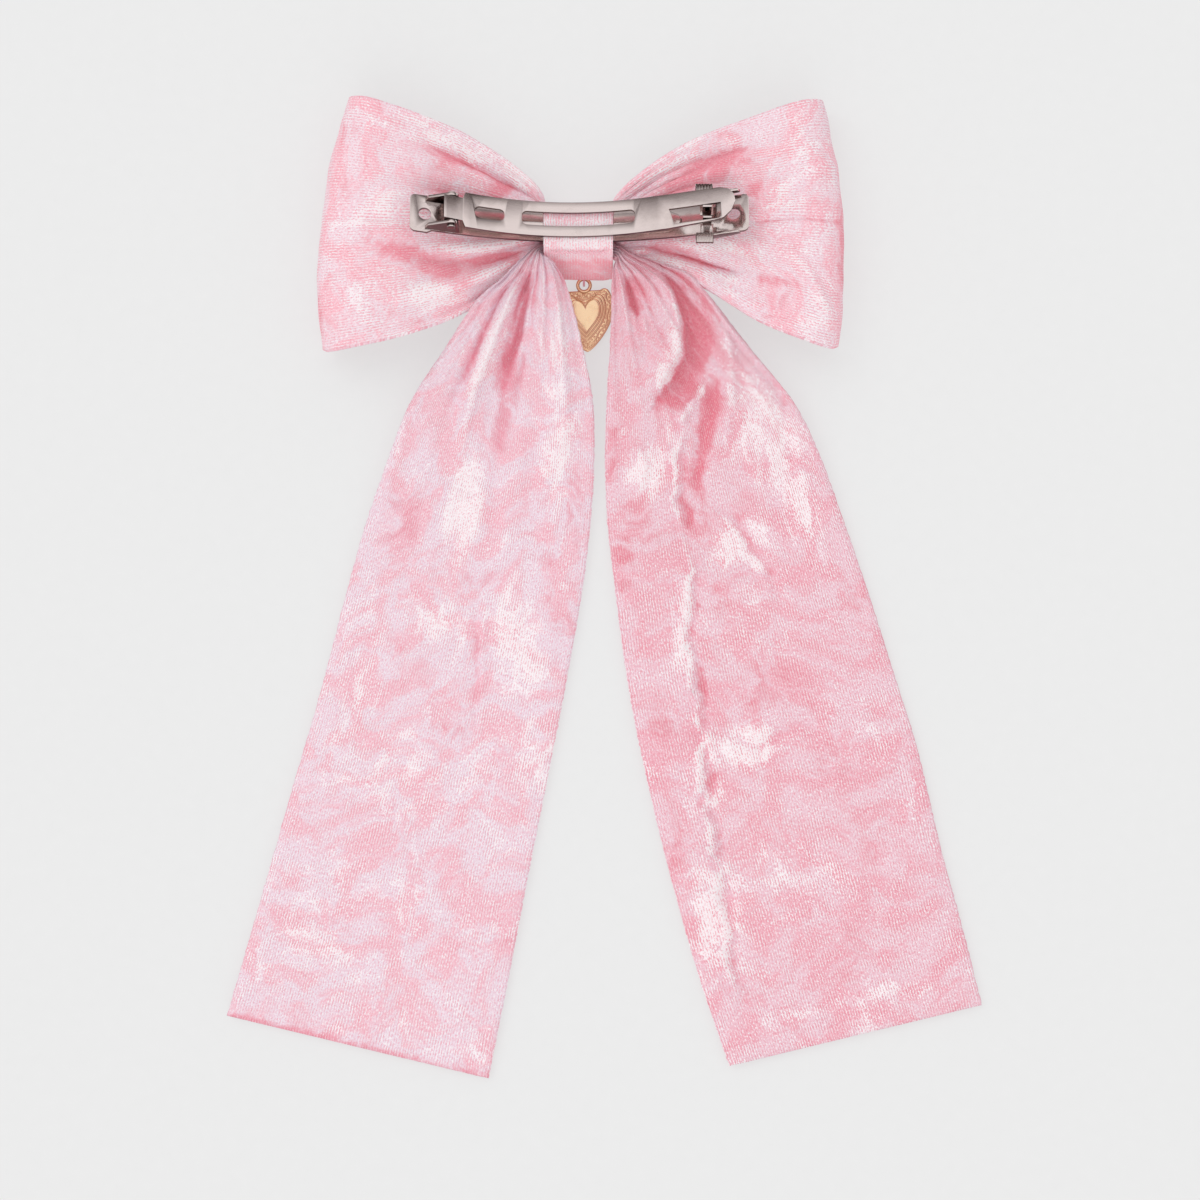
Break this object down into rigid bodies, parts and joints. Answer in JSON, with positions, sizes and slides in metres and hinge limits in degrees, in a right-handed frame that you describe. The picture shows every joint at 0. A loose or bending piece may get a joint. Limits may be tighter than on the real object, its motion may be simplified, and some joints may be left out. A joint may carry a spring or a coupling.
{
  "type": "bow hair barrette",
  "caption": "Velvet hair bow with two loops, two long tails and a centre knot, sewn over a French clip with a hinged arm, sprung catches and a small heart charm.",
  "frame": {"origin": "centre of the centre knot's front face, which rests on the surface that the bow lies on", "axes": "+Z out of the back of the bow towards the clip, +Y towards the top of the bow, the tails run along -Y, +X to the right when seen from the clip side"},
  "size_m": [0.1836, 0.2375, 0.0268],
  "materials": {
    "velvet": "crushed velvet",
    "nickel": "polished nickel plate",
    "gold": "polished pale gold plate",
    "thread": "polyester thread"
  },
  "bodies": {
    "bow": {"loop_band": "velvet", "left_tail": "velvet", "right_tail": "velvet", "centre_knot": "velvet", "gathering_thread": "thread", "knot_seam_stitches": "thread", "base_plate": "nickel", "tension_bar": "nickel", "hinge_pin": "nickel"},
    "arm": {"clip_arm": "nickel"},
    "upper_wing": {"upper_release_wing": "nickel"},
    "lower_wing": {"lower_release_wing": "nickel"},
    "charm_tie": {"charm_thread_loop": "thread"},
    "charm": {"heart_charm": "gold"}
  },
  "joints": [
    {"name": "arm_hinge", "type": "hinge", "parent": "bow", "child": "arm", "pos_m": [-0.03, 0.00641, 0.02213], "axis": [0, -0.9511, 0.309], "range_deg": [0, 100]},
    {"name": "upper_wing_flex", "type": "hinge", "parent": "bow", "child": "upper_wing", "pos_m": [0.0382, 0.011, 0.0187], "axis": [0, 0.309, 0.9511], "range_deg": [0, 4], "stiffness_Nm_per_rad": 0.02},
    {"name": "lower_wing_flex", "type": "hinge", "parent": "bow", "child": "lower_wing", "pos_m": [0.0382, 0.0005, 0.0221], "axis": [0, -0.309, -0.9511], "range_deg": [0, 4], "stiffness_Nm_per_rad": 0.02},
    {"name": "charm_swing", "type": "hinge", "parent": "bow", "child": "charm_tie", "pos_m": [0.0013, -0.0069, 0.0015], "axis": [1, 0, 0], "range_deg": [0, 60]},
    {"name": "charm_sway", "type": "hinge", "parent": "charm_tie", "child": "charm", "pos_m": [0.0013, -0.0095, 0.0015], "axis": [0, 0, 1], "range_deg": [-20, 20]}
  ]
}
